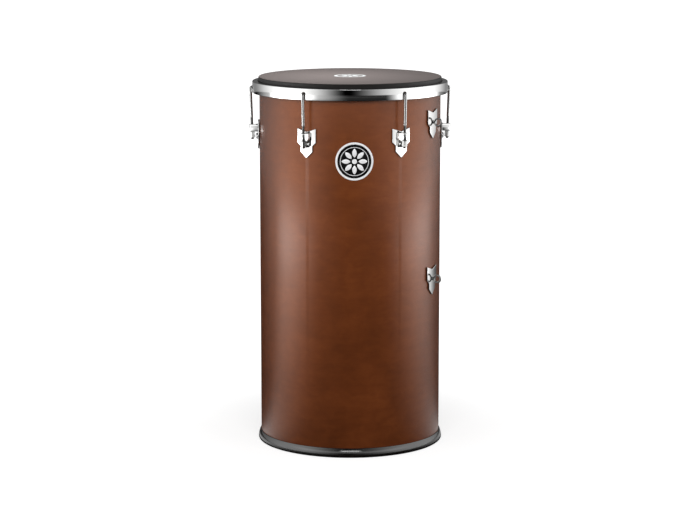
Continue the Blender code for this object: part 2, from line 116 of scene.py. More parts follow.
def selectRing(piece, height, radius):
    # the outermost round edge at a height
    bpy.ops.mesh.select_mode(type="EDGE")
    bpy.ops.mesh.select_all(action="DESELECT")
    cage = bmesh.from_edit_mesh(piece.data)
    for edge in cage.edges:
        if all(abs(v.co.z - height) < weld and hypot(v.co.x, v.co.y) > radius - weld for v in edge.verts):
            edge.select_set(True)
    bmesh.update_edit_mesh(piece.data)


def roundSelected(width, segments):
    bpy.ops.mesh.bevel(offset=width, segments=segments, profile=0.5, affect="EDGES", clamp_overlap=True)


def roundSharp(width, segments=3, angle=30):
    bpy.ops.mesh.select_mode(type="EDGE")
    bpy.ops.mesh.select_all(action="DESELECT")
    bpy.ops.mesh.edges_select_sharp(sharpness=radians(angle))
    roundSelected(width, segments)


def insetFlat(piece, width):
    # a narrow border inside each flat side, so that the rounded edge doesn't shade the whole side
    editMode(piece)
    bpy.ops.mesh.select_mode(type="FACE")
    mesh = bmesh.from_edit_mesh(piece.data)
    for face in mesh.faces:
        face.select_set(abs(face.normal.y) > 0.999)
    bmesh.update_edit_mesh(piece.data)
    bpy.ops.mesh.inset(thickness=width)
    bpy.ops.mesh.select_mode(type="EDGE")
    bpy.ops.object.mode_set(mode="OBJECT")


def sliceAcross(spacing, reach):
    # cuts upright lines into a flat piece, so that it can follow the shell
    count = int(reach / spacing)
    for number in range(-count, count + 1):
        bpy.ops.mesh.select_all(action="SELECT")
        bpy.ops.mesh.bisect(plane_co=(number * spacing, 0, 0), plane_no=(1, 0, 0))


def wrapRound(piece, radius):
    # bends what was drawn flat at the front around the drum's axis
    deselectAll()
    for vertex in piece.data.vertices:
        angle = vertex.co.x / radius
        distance = -vertex.co.y
        vertex.co = (distance * sin(angle), -distance * cos(angle), vertex.co.z)


def carve(piece, tool, operation="DIFFERENCE"):
    activate(piece)
    bpy.ops.object.modifier_add(type="BOOLEAN")
    modifier = piece.modifiers[-1]
    modifier.object = tool
    modifier.operation = operation
    bpy.ops.object.modifier_apply(modifier=modifier.name)
    bpy.data.objects.remove(tool)
    editMode(piece)
    bpy.ops.mesh.select_mode(type="VERT")
    bpy.ops.mesh.select_all(action="SELECT")
    bpy.ops.mesh.remove_doubles(threshold=weld / 4)
    bpy.ops.mesh.delete_loose()
    deselectAll()


def joinAll(pieces):
    activate(pieces[0])
    for piece in pieces[1:]:
        piece.select_set(True)
    bpy.ops.object.join()
    return bpy.context.object


def radialBar(angle, height, distance, radius, length, sides=32):
    # a round bar along a radius of the drum
    deselectAll()
    place = (distance * sin(angle), -distance * cos(angle), height)
    bpy.ops.mesh.primitive_cylinder_add(
        vertices=sides, radius=radius, depth=length, location=place, rotation=(pi / 2, 0, angle)
    )
    return bpy.context.object


def copyTurned(master, name, angle):
    piece = master.copy()
    piece.data = master.data.copy()
    piece.name = name
    piece.data.transform(Matrix.Rotation(angle, 4, "Z"))
    bpy.context.scene.collection.objects.link(piece)
    return piece


def settle(piece, node, material):
    # shading, finish, and the node that the piece stands for
    activate(piece)
    bpy.ops.object.transform_apply(location=True, rotation=True, scale=True)
    bpy.ops.object.shade_smooth_by_angle(angle=smoothAngle)
    piece.data.name = piece.name
    if not piece.data.materials:
        piece.data.materials.append(material)
    body = next(name for name, nodes in frame["record"]["behaviour"]["bodies"].items() if node in nodes)
    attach(piece, body)
    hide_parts(node)


def repeatAtLugs(master, name, node, material):
    # a copy at each lug, in place of the master
    for number, angle in enumerate(lugAngles, 1):
        settle(copyTurned(master, f"{name}_{number}", angle), f"{node}_{number}", material)
    bpy.data.objects.remove(master)


def moveToStrap(master, name, node, material):
    # a copy on the side with the strap eyes, in place of the master
    settle(copyTurned(master, name, strapSizes["angle"]), node, material)
    bpy.data.objects.remove(master)


def arcPoints(centre, radii, start, end, steps):
    points = []
    for step in range(steps + 1):
        angle = radians(start + (end - start) * step / steps)
        points.append((centre[0] + radii[0] * cos(angle), centre[1] + radii[1] * sin(angle)))
    return points


# Materials

class Wire:
    # a node's socket that takes part in sums
    def __init__(self, sheet, socket):
        self.sheet = sheet
        self.socket = socket

    def maths(self, operation, first, second=0.0):
        return self.sheet.add("ShaderNodeMath", {"operation": operation}, {0: first, 1: second})

    def __add__(self, other):
        return self.maths("ADD", self, other)

    def __radd__(self, other):
        return self.maths("ADD", other, self)

    def __sub__(self, other):
        return self.maths("SUBTRACT", self, other)

    def __rsub__(self, other):
        return self.maths("SUBTRACT", other, self)

    def __mul__(self, other):
        return self.maths("MULTIPLY", self, other)

    def __rmul__(self, other):
        return self.maths("MULTIPLY", other, self)

    def __pow__(self, other):
        return self.maths("POWER", self, other)

    def __abs__(self):
        return self.maths("ABSOLUTE", self)

    def __gt__(self, other):
        return self.maths("GREATER_THAN", self, other)

    def __lt__(self, other):
        return self.maths("LESS_THAN", self, other)


class Sheet:
    # a node tree and the one way to add to it
    def __init__(self, tree, output):
        self.tree = tree
        self.tree.nodes.clear()
        self.output = self.tree.nodes.new(output)

    def add(self, kind, settings, values, output=0):
        node = self.tree.nodes.new(kind)
        for name, setting in settings.items():
            if name == "stops":
                self.setStops(node.color_ramp.elements, setting)
            else:
                setattr(node, name, setting)
        for name, value in values.items():
            if isinstance(value, Wire):
                self.tree.links.new(value.socket, node.inputs[name])
            else:
                node.inputs[name].default_value = value
        return Wire(self, node.outputs[output])

    def setStops(self, elements, stops):
        while len(elements) < len(stops):
            elements.new(0.5)
        for element, (position, colour) in zip(elements, stops):
            element.position = position
            element.color = colour

    def finish(self, shader):
        self.tree.links.new(shader.socket, self.output.inputs["Surface"])

    def place(self):
        return self.add("ShaderNodeTexCoord", {}, {}, "Object")

    def axes(self, vector):
        node = self.add("ShaderNodeSeparateXYZ", {}, {"Vector": vector}).socket.node
        return [Wire(self, socket) for socket in node.outputs]

    def noise(self, place, scale, detail=3.0, roughness=0.5, distortion=0.0):
        # scale says how many patches there are to a metre along each axis
        stretched = self.add("ShaderNodeMapping", {}, {"Vector": place, "Scale": scale})
        values = {
            "Vector": stretched, "Scale": 1.0, "Detail": detail,
            "Roughness": roughness, "Distortion": distortion,
        }
        return self.add("ShaderNodeTexNoise", {}, values)

    def span(self, value, low, high, newLow=0.0, newHigh=1.0, smooth=False):
        settings = {"interpolation_type": "SMOOTHSTEP" if smooth else "LINEAR", "clamp": True}
        values = {"Value": value, "From Min": low, "From Max": high, "To Min": newLow, "To Max": newHigh}
        return self.add("ShaderNodeMapRange", settings, values)

    def blend(self, factor, first, second):
        settings = {"data_type": "RGBA", "blend_type": "MIX", "clamp_factor": True}
        return self.add("ShaderNodeMix", settings, {0: factor, 6: first, 7: second}, 2)

    def grey(self, value):
        return self.add("ShaderNodeCombineColor", {}, {0: value, 1: value, 2: value})

    def bump(self, height, distance, strength):
        values = {"Height": height, "Distance": distance, "Strength": strength}
        return self.add("ShaderNodeBump", {}, values)


def newSheet(name):
    material = bpy.data.materials.new(name)
    material.use_nodes = True
    return material, Sheet(material.node_tree, "ShaderNodeOutputMaterial")


def tone(red, green, blue):
    # a colour as a picture editor shows it
    linear = [((c / 255 + 0.055) / 1.055) ** 2.4 if c > 10 else c / 255 / 12.92 for c in (red, green, blue)]
    return (*linear, 1.0)


woodLook = {
    "dark": tone(71, 33, 13),
    "middle": tone(86, 41, 17),
    "light": tone(100, 50, 22),
    "raw": tone(176, 138, 94),
    "rawDark": tone(150, 112, 72),
    "rawDepth": 0.004,  # how far in from the outside the wood is left raw
    "sheen": (1.0, 0.33, 0.11, 1.0),  # what the stained fibres throw back
    "shine": 0.8,
    "roughness": 0.42,
    "coat": 0.40,
    "coatRoughness": 0.19,
    "depth": 0.00012,
}


def makeWood():
    material, sheet = newSheet("stained wood")
    place = sheet.place()
    x, y, z = sheet.axes(place)
    streaks = sheet.noise(place, (11, 11, 95), 5, 0.65, 0.5)  # soft figure around the girth
    fibres = sheet.noise(place, (70, 70, 900), 4, 0.6)
    clouds = sheet.noise(place, (11, 11, 13), 4, 0.55, 0.5)  # uneven take-up of the stain
    ripple = sheet.noise(place, (42, 42, 60), 4, 0.6, 0.8)
    pores = sheet.noise(place, (150, 150, 3400), 2, 0.5)
    figure = streaks * 0.20 + fibres * 0.12 + clouds * 0.40 + ripple * 0.28
    stops = [(0.36, woodLook["dark"]), (0.50, woodLook["middle"]), (0.64, woodLook["light"])]
    stain = sheet.add("ShaderNodeValToRGB", {"stops": stops}, {"Fac": figure})
    flecks = sheet.span(pores, 0.60, 0.70)
    stain = sheet.blend(flecks * 0.35, stain, woodLook["dark"])
    radius = (x * x + y * y) ** 0.5
    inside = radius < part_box("shell")[1].x - woodLook["rawDepth"]
    raw = sheet.blend(fibres, woodLook["raw"], woodLook["rawDark"])
    colour = sheet.blend(inside, stain, raw)
    grain = fibres * 0.6 + flecks * -0.5 + streaks * 0.3
    rough = woodLook["roughness"]
    shader = sheet.add("ShaderNodeBsdfPrincipled", {}, {
        "Base Color": colour,
        "Roughness": sheet.span(fibres, 0.3, 0.7, rough - 0.04, rough + 0.05),
        "Specular IOR Level": woodLook["shine"],
        "Specular Tint": woodLook["sheen"],
        "Coat Weight": woodLook["coat"],
        "Coat Roughness": woodLook["coatRoughness"],
        "Normal": sheet.bump(grain, woodLook["depth"], 0.6),
    })
    sheet.finish(shader)
    return material


skinLook = {
    # film and mottle paint the top of the head grey, lighter than the film's own dark brown: painted sheen,
    # with a real uneven mottle between the two tones
    "film": tone(99, 92, 90),
    "mottle": tone(114, 106, 104),
    # the same film painted near black at its rounded edge: painted shade where the sheen falls off the
    # curve
    "collar": tone(15, 13, 12),
    "print": tone(196, 200, 200),
    "printRadius": 0.031,
    "printBorder": 0.006,
    "petalReach": 0.021,
    "petalStart": 0.28,  # shares of the reach
    "petalWaist": 0.3,
    "petals": 8,
    "collarStart": 0.0013,  # in from the head's outline
    "collarEnd": 0.0005,
    "printDepth": 0.0002,
    "shine": 0.25,
    "depth": 0.00008,
}


def makeSkin():
    material, sheet = newSheet("dark film")
    place = sheet.place()
    x, y, z = sheet.axes(place)
    radius = (x * x + y * y) ** 0.5
    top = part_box("head_skin")[1].z
    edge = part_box("head_skin")[1].x
    cloud = sheet.noise(place, (14, 14, 14), 4, 0.6)
    grain = sheet.noise(place, (900, 900, 900), 2, 0.6)
    # the top's grey is painted sheen over the film's own dark brown, mottled unevenly
    film = sheet.blend(cloud * 0.6 + grain * 0.4, skinLook["film"], skinLook["mottle"])
    # a plain white ring around a rosette of petals
    turn = sheet.add("ShaderNodeMath", {"operation": "ARCTAN2"}, {0: y, 1: x})
    wave = abs(sheet.add("ShaderNodeMath", {"operation": "COSINE"}, {0: turn * (skinLook["petals"] / 2)}))
    waist, reach = skinLook["petalWaist"], skinLook["petalReach"]
    petal = (wave * (1 - waist) + waist) * reach
    rosette = (radius < petal) * (radius > skinLook["petalStart"] * reach)
    printEdge = skinLook["printRadius"]
    border = (radius < printEdge) * (radius > printEdge - skinLook["printBorder"])
    printed = (rosette + border) * (z > top - skinLook["printDepth"])
    worn = printed * sheet.span(grain, 0.25, 0.35, 0.8, 1.0)
    colour = sheet.blend(worn, film, skinLook["print"])
    # painted shade: the film goes near black over its rounded edge, where the sheen falls away
    collar = sheet.span(radius, edge - skinLook["collarStart"], edge - skinLook["collarEnd"])
    colour = sheet.blend(collar, colour, skinLook["collar"])
    shader = sheet.add("ShaderNodeBsdfPrincipled", {}, {
        "Base Color": colour,
        "Roughness": sheet.span(grain + collar, 0.3, 1.4, 0.55, 0.45),
        "Specular IOR Level": skinLook["shine"],
        "Normal": sheet.bump(grain * (1 - collar * 0.8), skinLook["depth"], 0.5),
    })
    sheet.finish(shader)
    return material


def makeMetal(name, look):
    # plated metal with faint smears and fine scuffs
    material, sheet = newSheet(name)
    place = sheet.place()
    smear = sheet.noise(place, (40, 40, 25), 3, 0.6, 0.5)
    scuff = sheet.noise(place, (700, 700, 2600), 3, 0.65)
    mark = sheet.span(smear, 0.35, 0.75)
    colour = sheet.blend(mark * look["stain"], look["bright"], look["dull"])
    rough = look["roughness"] + mark * look["smear"] + scuff * look["scuff"]
    shader = sheet.add("ShaderNodeBsdfPrincipled", {}, {
        "Base Color": colour,
        "Metallic": look["metallic"],
        "Roughness": rough,
        "Normal": sheet.bump(scuff, look["depth"], 0.4),
    })
    sheet.finish(shader)
    return material


chromeLook = {
    "bright": (0.67, 0.67, 0.665, 1), "dull": (0.58, 0.58, 0.575, 1), "stain": 0.35,
    "roughness": 0.035, "smear": 0.03, "scuff": 0.02, "depth": 0.000002, "metallic": 1.0,
}
steelLook = {
    "bright": (0.36, 0.36, 0.355, 1), "dull": (0.28, 0.28, 0.275, 1), "stain": 0.5,
    "roughness": 0.22, "smear": 0.06, "scuff": 0.06, "depth": 0.000006, "metallic": 1.0,
}
zincLook = {
    "bright": (0.62, 0.62, 0.60, 1), "dull": (0.42, 0.42, 0.41, 1), "stain": 0.8,
    "roughness": 0.24, "smear": 0.12, "scuff": 0.12, "depth": 0.00002, "metallic": 1.0,
}
silverLook = {
    "bright": (0.86, 0.86, 0.87, 1), "dull": (0.72, 0.72, 0.74, 1), "stain": 0.4,
    "roughness": 0.40, "smear": 0.05, "scuff": 0.10, "depth": 0.000006, "metallic": 0.3,
}
rubberLook = {
    "base": tone(13, 11, 10), "dusty": tone(24, 21, 19), "rough": (0.12, 0.16), "depth": 0.00001,
    "shine": 1.0,
}
gasketLook = {
    "base": tone(26, 18, 15), "dusty": tone(40, 30, 26), "rough": (0.5, 0.7), "depth": 0.00005,
    "shine": 0.5,
}
enamelLook = {
    "base": tone(5, 5, 6), "dusty": tone(12, 12, 13), "rough": (0.16, 0.26), "depth": 0.00001,
    "shine": 0.5,
}


def makeDark(name, look):
    # rubber or enamel: an even dark body with a fine skin and a little dust
    material, sheet = newSheet(name)
    place = sheet.place()
    dust = sheet.noise(place, (60, 60, 90), 4, 0.6)
    skin = sheet.noise(place, (1500, 1500, 1500), 2, 0.5)
    shader = sheet.add("ShaderNodeBsdfPrincipled", {}, {
        "Base Color": sheet.blend(sheet.span(dust, 0.45, 0.8), look["base"], look["dusty"]),
        "Roughness": sheet.span(dust * 0.6 + skin * 0.4, 0.3, 0.7, *look["rough"]),
        "Specular IOR Level": look["shine"],
        "Normal": sheet.bump(skin, look["depth"], 0.5),
    })
    sheet.finish(shader)
    return material


stainedWood = makeWood()
darkFilm = makeSkin()
chrome = makeMetal("chrome", chromeLook)
steel = makeMetal("bright steel", steelLook)
zinc = makeMetal("zinc plate", zincLook)
silver = makeMetal("satin silver", silverLook)
blackRubber = makeDark("black rubber", rubberLook)
gasketRubber = makeDark("gasket rubber", gasketLook)
blackEnamel = makeDark("black enamel", enamelLook)
print("materials made")


# Places that the frame gives

lugAngles = []
for number in range(1, 7):
    joint = next(joint for joint in frame["joints"] if joint["name"] == f"nut_{number}_turn")
    lugAngles.append(atan2(joint["pos_m"][0], -joint["pos_m"][1]))
nutDistance = hypot(*joint["pos_m"][:2])
nutMiddle = joint["pos_m"][2]
lean = atan2(hypot(*joint["axis"][:2]), joint["axis"][2])  # the rods lean in towards the shell
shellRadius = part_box("shell")[1].x
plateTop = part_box("lug_plate_3")[1].z
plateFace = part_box("lug_plate_3")[1].x  # outer face of a plate, from the lug that points to +X
screwLow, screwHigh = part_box("lug_screw_3")
screwHeight = (screwLow.z + screwHigh.z) / 2
nutSeatLow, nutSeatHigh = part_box("lug_screw_nut_3")
strapSizes = {"angle": radians(60), "eyeDrop": 0.0242}
eyeHeights = {
    where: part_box(f"strap_plate_{where}")[1].z - strapSizes["eyeDrop"] for where in ("high", "low")
}


def leanOver(piece, turn=0.0):
    # spins what was drawn upright at a nut's place, then tips it onto the rod's line
    pivot = Matrix.Translation((0, -nutDistance, nutMiddle))
    tip = Matrix.Rotation(lean, 4, "X") @ Matrix.Rotation(turn, 4, "Z")
    piece.data.transform(pivot @ tip @ pivot.inverted())


# Shell

shellSizes = {
    "sides": 480, "wall": 0.0075, "edge": 0.0012, "chamfer": 0.004, "hole": 0.0032, "drill": 0.03,
}


def makeShell():
    low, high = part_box("shell")
    inner = shellRadius - shellSizes["wall"]
    chamfer = shellSizes["chamfer"]
    points = [
        (shellRadius, 0, low.z), (shellRadius, 0, high.z), (inner + chamfer, 0, high.z),
        (inner, 0, high.z - chamfer), (inner, 0, low.z), (shellRadius, 0, low.z),
    ]
    piece = spinLine("wooden_tube", points, shellSizes["sides"])
    roundSharp(shellSizes["edge"], 3)
    middle = shellRadius - shellSizes["wall"] / 2
    holes = [(angle, screwHeight) for angle in lugAngles]
    holes += [(strapSizes["angle"], height) for height in eyeHeights.values()]
    bars = [radialBar(*hole, middle, shellSizes["hole"], shellSizes["drill"]) for hole in holes]
    carve(piece, joinAll(bars))
    settle(piece, "shell", stainedWood)


makeShell()
print("shell made")


# Edge ring

ringSizes = {
    "sides": 300, "sole": 0.0044, "lip": 0.0007, "bulgeHeight": 0.0035, "footInset": 0.0050,
    "innerWall": 0.0024, "innerHeight": 0.012, "edge": 0.0005,
}


def makeRing():
    low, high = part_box("bottom_ring")
    widest, lipTop = high.x, high.z
    lipInner = shellRadius + clearance
    lipOuter = lipInner + ringSizes["lip"]
    bulge = ringSizes["bulgeHeight"]
    face = shellRadius - shellSizes["wall"] - clearance
    back = face - ringSizes["innerWall"]
    points = [(lipInner, lipTop)]
    steps = 16
    for step in range(steps):
        fall = step / steps
        swell = (widest - lipOuter) * (1 - (1 - fall) ** 2)
        points.append((lipOuter + swell, lipTop - (lipTop - bulge) * fall))
    foot = widest - ringSizes["footInset"]
    points += arcPoints((foot, bulge), (widest - foot, bulge), 0, -90, 10)
    points += [(back, 0), (back, ringSizes["innerHeight"]), (face, ringSizes["innerHeight"])]
    points += [(face, ringSizes["sole"]), (lipInner, ringSizes["sole"]), (lipInner, lipTop)]
    piece = spinLine("rubber_ring", [(r, 0, z) for r, z in points], ringSizes["sides"])
    roundSharp(ringSizes["edge"], 3, 40)
    settle(piece, "bottom_ring", blackRubber)


makeRing()
print("edge ring made")


# Head

headSizes = {"sides": 300, "sheet": 0.0015, "corner": 0.0024, "rings": 6, "hoopEdge": 0.001}


def makeHead():
    low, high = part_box("head_skin")
    edge, top = high.x, high.z
    corner = headSizes["corner"]
    rings = headSizes["rings"]
    flat = [((edge - corner) * ring / rings, top) for ring in range(rings)]
    bend = arcPoints((edge - corner, top - corner), (corner, corner), 90, 0, 8)
    inner = edge - headSizes["sheet"]
    under = top - headSizes["sheet"]
    points = flat + bend + [(edge, low.z), (inner, low.z), (inner, under), (0, under)]
    piece = spinLine("drum_head", [(r, 0, z) for r, z in points], headSizes["sides"])
    settle(piece, "head_skin", darkFilm)


def makeFleshHoop():
    low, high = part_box("flesh_hoop")
    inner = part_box("head_skin")[1].x + clearance
    points = [(inner, low.z), (high.x, low.z), (high.x, high.z), (inner, high.z), (inner, low.z)]
    piece = spinLine("mounting_hoop", [(r, 0, z) for r, z in points], headSizes["sides"])
    roundSharp(headSizes["hoopEdge"], 4)
    settle(piece, "flesh_hoop", zinc)


makeHead()
makeFleshHoop()
print("head made")


# Counter hoop

rimSizes = {
    "sides": 480, "sheet": 0.002, "flangeGap": 0.0022, "corner": 0.0015, "lowerEdge": 0.0009,
    "edge": 0.0004, "holeRise": 0.0113, "hole": 0.00425, "drill": 0.02,
}


def makeRim():
    low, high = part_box("rim")
    outer, top = high.x, high.z
    sheet = rimSizes["sheet"]
    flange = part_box("head_skin")[1].x + rimSizes["flangeGap"]
    points = [
        (flange, top), (outer, top), (outer, low.z), (outer - sheet, low.z),
        (outer - sheet, top - sheet), (flange, top - sheet), (flange, top),
    ]
    piece = spinLine("counter_hoop", [(r, 0, z) for r, z in points], rimSizes["sides"])
    selectRing(piece, top, outer)
    roundSelected(rimSizes["corner"], 6)
    selectRing(piece, low.z, outer)
    roundSelected(rimSizes["lowerEdge"], 4)
    roundSharp(rimSizes["edge"], 3)
    height = low.z + rimSizes["holeRise"]
    hole, drill = rimSizes["hole"], rimSizes["drill"]
    bars = [radialBar(angle, height, outer, hole, drill, 48) for angle in lugAngles]
    carve(piece, joinAll(bars))
    settle(piece, "rim", chrome)


makeRim()
print("counter hoop made")


# Hooked rods

rodSizes = {
    "sides": 32, "radius": 0.00275, "bend": 0.00335, "root": 0.0024, "pitch": 0.00106, "turns": 40,
    "tip": 0.0008, "below": 0.00895, "above": 0.09275, "reach": 0.00839,
}


def makeRods():
    # drawn upright through a nut's place, from which below, above and reach are measured
    radius, bend, tip = rodSizes["radius"], rodSizes["bend"], rodSizes["tip"]
    noseHeight = nutMiddle + rodSizes["above"]
    bendStart = noseHeight - bend
    half = rodSizes["pitch"] / 2
    start = nutMiddle - rodSizes["below"]
    deselectAll()
    bpy.ops.mesh.primitive_circle_add(
        vertices=rodSizes["sides"], radius=radius - tip, fill_type="NGON", location=(0, -nutDistance, start)
    )
    piece = bpy.context.object
    piece.name = "hooked_rod"
    bpy.ops.object.transform_apply(location=True, rotation=True, scale=True)
    bpy.ops.object.mode_set(mode="EDIT")
    bpy.ops.mesh.select_all(action="SELECT")

    def rise(height, step, now, new):
        # carries the end face up from height and swells or shrinks it
        bpy.ops.mesh.extrude_region_move(TRANSFORM_OT_translate={"value": (0, 0, step)})
        swell = (new / now, new / now, 1)
        bpy.ops.transform.resize(value=swell, center_override=(0, -nutDistance, height + step))
        return height + step

    height = rise(start, tip, radius - tip, radius)
    root = rodSizes["root"]
    for turn in range(rodSizes["turns"]):  # thread grooves from the tip up
        height = rise(height, half, radius, root)
        height = rise(height, half, root, radius)
    rise(height, bendStart - height, radius, radius)
    bendCentre = (0, bend - nutDistance, bendStart)
    bpy.ops.mesh.spin(steps=12, angle=pi / 2, center=bendCentre, axis=(1, 0, 0))
    noseEnd = rodSizes["reach"] - nutDistance
    straight = rodSizes["reach"] - bend - tip
    bpy.ops.mesh.extrude_region_move(TRANSFORM_OT_translate={"value": (0, straight, 0)})
    bpy.ops.mesh.extrude_region_move(TRANSFORM_OT_translate={"value": (0, tip, 0)})
    shrink = 1 - tip / radius
    bpy.ops.transform.resize(value=(shrink, 1, shrink), center_override=(0, noseEnd, noseHeight))
    mergeAll()
    deselectAll()
    leanOver(piece)
    repeatAtLugs(piece, "hooked_rod", "hook_rod", steel)


makeRods()
print("rods made")


# Tension nuts

nutSizes = {
    "flats": 0.010, "height": 0.012, "bore": 0.00305, "chamfer": 0.0012, "chamferSlope": 1.2,
    "edge": 0.00025, "play": 0.0001,
}
nutTurns = (40, 0, 0, 12, 25, 0)  # how far each nut is turned on its rod, in degrees


def makeNuts():
    corner = nutSizes["flats"] / sqrt(3)
    height = nutSizes["height"]
    place = (0, -nutDistance, nutMiddle)
    deselectAll()
    bpy.ops.mesh.primitive_cylinder_add(
        vertices=6, radius=corner, depth=height, location=place, rotation=(0, 0, radians(30))
    )
    piece = bpy.context.object
    piece.name = "hex_nut"
    bpy.ops.object.transform_apply(location=True, rotation=True, scale=True)
    bpy.ops.object.mode_set(mode="EDIT")
    roundSharp(nutSizes["edge"], 2)
    deselectAll()
    chamfer = nutSizes["chamfer"]
    face = corner - chamfer * nutSizes["chamferSlope"]
    wide = corner + nutSizes["play"]
    low, high = nutMiddle - height / 2, nutMiddle + height / 2
    lens = [(0, high), (face, high), (wide, high - chamfer), (wide, low + chamfer), (face, low), (0, low)]
    tool = spinLine("lens", [(r, -nutDistance, z) for r, z in lens], 96, (0, -nutDistance, 0))
    deselectAll()
    carve(piece, tool, "INTERSECT")
    bpy.ops.mesh.primitive_cylinder_add(
        vertices=48, radius=nutSizes["bore"], depth=2 * height, location=place
    )
    carve(piece, bpy.context.object)
    for number, (angle, turn) in enumerate(zip(lugAngles, nutTurns), 1):
        nut = copyTurned(piece, f"hex_nut_{number}", 0)
        leanOver(nut, radians(turn))
        nut.data.transform(Matrix.Rotation(angle, 4, "Z"))
        settle(nut, f"tension_nut_{number}", steel)
    bpy.data.objects.remove(piece)


makeNuts()
print("nuts made")


# Arrow plates and their gaskets, drawn down from the two upper tips

plateSizes = {
    "halfWidth": 0.0195, "notch": 0.006, "shoulder": 0.0262, "waist": 0.0326, "waistHalf": 0.0125,
    "waistEnd": 0.0437, "length": 0.0556, "sheet": 0.0018, "edge": 0.00045, "slice": 0.0016,
    "gasket": 0.0009, "gasketEdge": 0.0001, "hole": 0.0032, "drill": 0.02, "screwDrop": 0.0303,
}


def plateOutline(top):
    p = plateSizes
    right = [
        (p["halfWidth"], -p["shoulder"]), (p["waistHalf"], -p["waist"]),
        (p["waistHalf"], -p["waistEnd"]), (0, -p["length"]),
    ]
    left = [(-x, z) for x, z in reversed(right[:3])]
    around = [(0, -p["notch"]), (p["halfWidth"], 0)] + right + left + [(-p["halfWidth"], 0)]
    return [(x, top + z) for x, z in around]


def makePlate(name, top, distance, thickness, edge, holeDrop):
    # an arrow of sheet, from distance outwards, with the hole for its fastener
    points = [(x, -distance, z) for x, z in plateOutline(top)]
    piece = extrudeOutline(name, points, (0, -thickness, 0))
    roundSharp(edge, 3)
    insetFlat(piece, 0.6 * edge)
    carve(piece, radialBar(0, top - holeDrop, distance, plateSizes["hole"], plateSizes["drill"], 40))
    editMode(piece)
    sliceAcross(plateSizes["slice"], plateSizes["halfWidth"])
    wrapRound(piece, plateFace)
    return piece


def makePlates():
    sheet, edge = plateSizes["sheet"], plateSizes["edge"]
    rubber, rubberEdge = plateSizes["gasket"], plateSizes["gasketEdge"]
    plateBack = plateFace - sheet
    gasketBack = shellRadius + clearance
    eyeDrop, screwDrop = strapSizes["eyeDrop"], plateSizes["screwDrop"]
    plate = makePlate("arrow_plate", plateTop, plateBack, sheet, edge, screwDrop)
    gasket = makePlate("plate_gasket", plateTop, gasketBack, rubber, rubberEdge, screwDrop)
    repeatAtLugs(plate, "arrow_plate", "lug_plate", chrome)
    repeatAtLugs(gasket, "plate_gasket", "lug_gasket", gasketRubber)
    for where in ("high", "low"):
        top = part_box(f"strap_plate_{where}")[1].z
        plate = makePlate("strap_plate", top, plateBack, sheet, edge, eyeDrop)
        gasket = makePlate("strap_gasket", top, gasketBack, rubber, rubberEdge, eyeDrop)
        moveToStrap(plate, f"arrow_strap_plate_{where}", f"strap_plate_{where}", chrome)
        moveToStrap(gasket, f"arrow_strap_gasket_{where}", f"strap_gasket_{where}", gasketRubber)


makePlates()
print("plates made")


# Rod loops

loopSizes = {"sheet": 0.002, "play": 0.0012, "footHalf": 0.011, "edge": 0.0004, "steps": 36}


def makeLoops():
    low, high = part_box("lug_bracket_3")
    middle = (low.z + high.z) / 2
    centre = (0, -nutDistance - (middle - nutMiddle) * tan(lean))
    sheet = loopSizes["sheet"]
    innerRadius = rodSizes["radius"] + loopSizes["play"]
    innerFoot = loopSizes["footHalf"] - sheet
    seat = plateFace + clearance
    footY = -sqrt(seat ** 2 - innerFoot ** 2)
    sides = []
    for radius, half in ((innerRadius + sheet, loopSizes["footHalf"]), (innerRadius, innerFoot)):
        away = (half - centre[0], footY - centre[1])
        start = degrees(atan2(away[1], away[0]) - acos(radius / hypot(*away)))
        bow = arcPoints(centre, (radius, radius), start, -180 - start, loopSizes["steps"])
        sides.append([(half, footY)] + bow + [(-half, footY)])
    outline = sides[0] + sides[1][::-1]
    piece = extrudeOutline("rod_loop", [(x, y, low.z) for x, y in outline], (0, 0, high.z - low.z))
    roundSharp(loopSizes["edge"], 3)
    deselectAll()
    repeatAtLugs(piece, "rod_loop", "lug_bracket", chrome)


makeLoops()
print("loops made")


# Dome screws and the nuts inside the shell

screwSizes = {
    "head": 0.006, "dome": 0.004, "rim": 0.0008, "shank": 0.0027, "root": 0.00235, "pitch": 0.0008,
    "recessWidth": 0.0013, "recessLength": 0.006, "recessDepth": 0.0016, "plain": 0.004,
}
innerNutSizes = {
    "flange": 0.007, "flangeHeight": 0.0014, "slope": 0.0009, "slopeShare": 0.86, "corner": 0.00548,
    "bore": 0.003, "edge": 0.0003, "inset": 0.0004, "drill": 0.03,
}


def threadPoints(start, end, crest, root, pitch):
    # grooves along a shank, from start inwards to end
    points = []
    count = int((start - end) / pitch)
    for turn in range(count):
        points += [(crest, start - turn * pitch), (root, start - (turn + 0.5) * pitch)]
    return points + [(crest, start - count * pitch), (crest * 0.8, end), (0, end)]


def makeScrews():
    seat = plateFace + clearance
    height = screwHeight
    s = screwSizes
    dome = arcPoints((0, seat + s["rim"]), (s["head"], s["dome"] - s["rim"]), 90, 0, 12)
    points = dome + [(s["head"], seat), (s["shank"], seat)]
    points += threadPoints(seat - s["plain"], screwLow.x, s["shank"], s["root"], s["pitch"])
    piece = spinLine("dome_screw", [(r, -y, height) for r, y in points], 40, (0, 0, height), (0, 1, 0))
    deselectAll()
    for size in ((s["recessLength"], s["recessWidth"]), (s["recessWidth"], s["recessLength"])):
        bpy.ops.mesh.primitive_cube_add(size=1, location=(0, -(seat + s["dome"]), height))
        slot = bpy.context.object
        slot.scale = (size[0], 2 * s["recessDepth"], size[1])
        bpy.ops.object.transform_apply(location=True, rotation=True, scale=True)
        carve(piece, slot)
        deselectAll()
    repeatAtLugs(piece, "dome_screw", "lug_screw", chrome)


